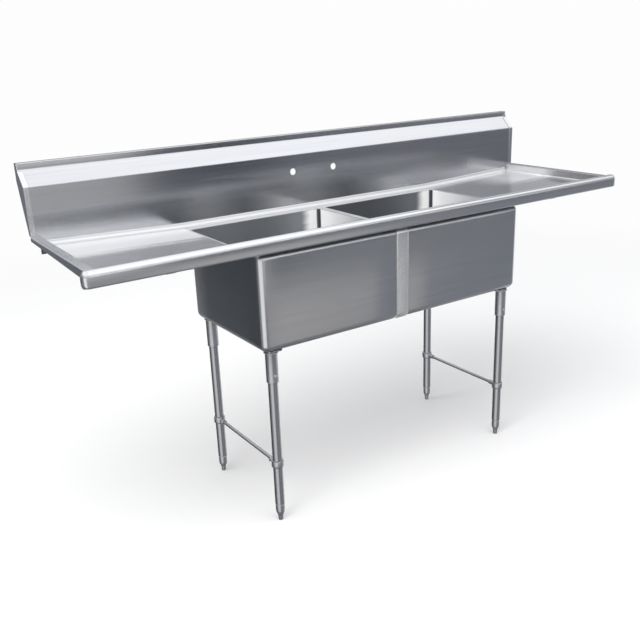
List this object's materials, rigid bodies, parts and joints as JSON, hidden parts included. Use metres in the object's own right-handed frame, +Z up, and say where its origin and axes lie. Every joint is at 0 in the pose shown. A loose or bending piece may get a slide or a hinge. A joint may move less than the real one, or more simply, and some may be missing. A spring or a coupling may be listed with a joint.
{
  "type": "compartment sink with drainboards",
  "caption": "Stainless scullery sink: deep bowls between pitched drainboards, rolled front rim, splash with a sloped top, and tubular legs on adjustable bullet feet.",
  "frame": {"origin": "centre of the footprint on the floor", "axes": "+Z up, +X along the length with the user facing the sink, +Y from the front rim to the wall"},
  "size_m": [2.0424, 0.582, 1.137],
  "materials": {
    "polished_steel": "bright polished stainless steel",
    "brushed_steel": "satin stainless steel with a long horizontal grain",
    "bowl_steel": "satin stainless steel, blended grain",
    "tube_steel": "satin stainless tube",
    "cast_steel": "dull cast stainless fittings",
    "chromed_drain": "polished",
    "brass_nut": "machined",
    "rubber_seal": "matte"
  },
  "bodies": {
    "sink": {"front_rail": "polished_steel", "rail_cap_left": "polished_steel", "rail_cap_right": "polished_steel", "backsplash": "brushed_steel", "splash_end_left": "polished_steel", "splash_end_right": "polished_steel", "bowl_deck": "brushed_steel", "drainboard_left": "brushed_steel", "drainboard_right": "brushed_steel", "side_rim_left": "polished_steel", "side_rim_right": "polished_steel", "channel_left": "tube_steel", "channel_right": "tube_steel", "bowl_left": "bowl_steel", "bowl_right": "bowl_steel", "seam_filler_front": "polished_steel", "seam_filler_rear": "brushed_steel", "drain_body_left": "chromed_drain", "drain_gasket_left": "rubber_seal", "drain_locknut_left": "brass_nut", "tailpiece_left": "chromed_drain", "slip_nut_left": "brass_nut", "drain_body_right": "chromed_drain", "drain_gasket_right": "rubber_seal", "drain_locknut_right": "brass_nut", "tailpiece_right": "chromed_drain", "slip_nut_right": "brass_nut", "leg_plate_front_left": "tube_steel", "leg_socket_front_left": "cast_steel", "leg_front_left": "tube_steel", "leg_plate_front_right": "tube_steel", "leg_socket_front_right": "cast_steel", "leg_front_right": "tube_steel", "leg_plate_rear_left": "tube_steel", "leg_socket_rear_left": "cast_steel", "leg_rear_left": "tube_steel", "leg_plate_rear_right": "tube_steel", "leg_socket_rear_right": "cast_steel", "leg_rear_right": "tube_steel", "brace_clamp_front_left": "cast_steel", "brace_clamp_rear_left": "cast_steel", "brace_left": "tube_steel", "brace_clamp_front_right": "cast_steel", "brace_clamp_rear_right": "cast_steel", "brace_right": "tube_steel"},
    "foot_front_left_body": {"foot_front_left": "cast_steel"},
    "foot_front_right_body": {"foot_front_right": "cast_steel"},
    "foot_rear_left_body": {"foot_rear_left": "cast_steel"},
    "foot_rear_right_body": {"foot_rear_right": "cast_steel"},
    "strainer_basket_left_body": {"strainer_basket_left": "chromed_drain"},
    "strainer_basket_right_body": {"strainer_basket_right": "chromed_drain"}
  },
  "joints": [
    {"name": "foot_front_left_adjust", "type": "slide", "parent": "sink", "child": "foot_front_left_body", "axis": [0, 0, -1], "range_m": [0, 0.025]},
    {"name": "foot_front_right_adjust", "type": "slide", "parent": "sink", "child": "foot_front_right_body", "axis": [0, 0, -1], "range_m": [0, 0.025]},
    {"name": "foot_rear_left_adjust", "type": "slide", "parent": "sink", "child": "foot_rear_left_body", "axis": [0, 0, -1], "range_m": [0, 0.025]},
    {"name": "foot_rear_right_adjust", "type": "slide", "parent": "sink", "child": "foot_rear_right_body", "axis": [0, 0, -1], "range_m": [0, 0.025]},
    {"name": "strainer_basket_left_lift", "type": "slide", "parent": "sink", "child": "strainer_basket_left_body", "axis": [0, 0, 1], "range_m": [0, 0.42]},
    {"name": "strainer_basket_right_lift", "type": "slide", "parent": "sink", "child": "strainer_basket_right_body", "axis": [0, 0, 1], "range_m": [0, 0.42]}
  ]
}
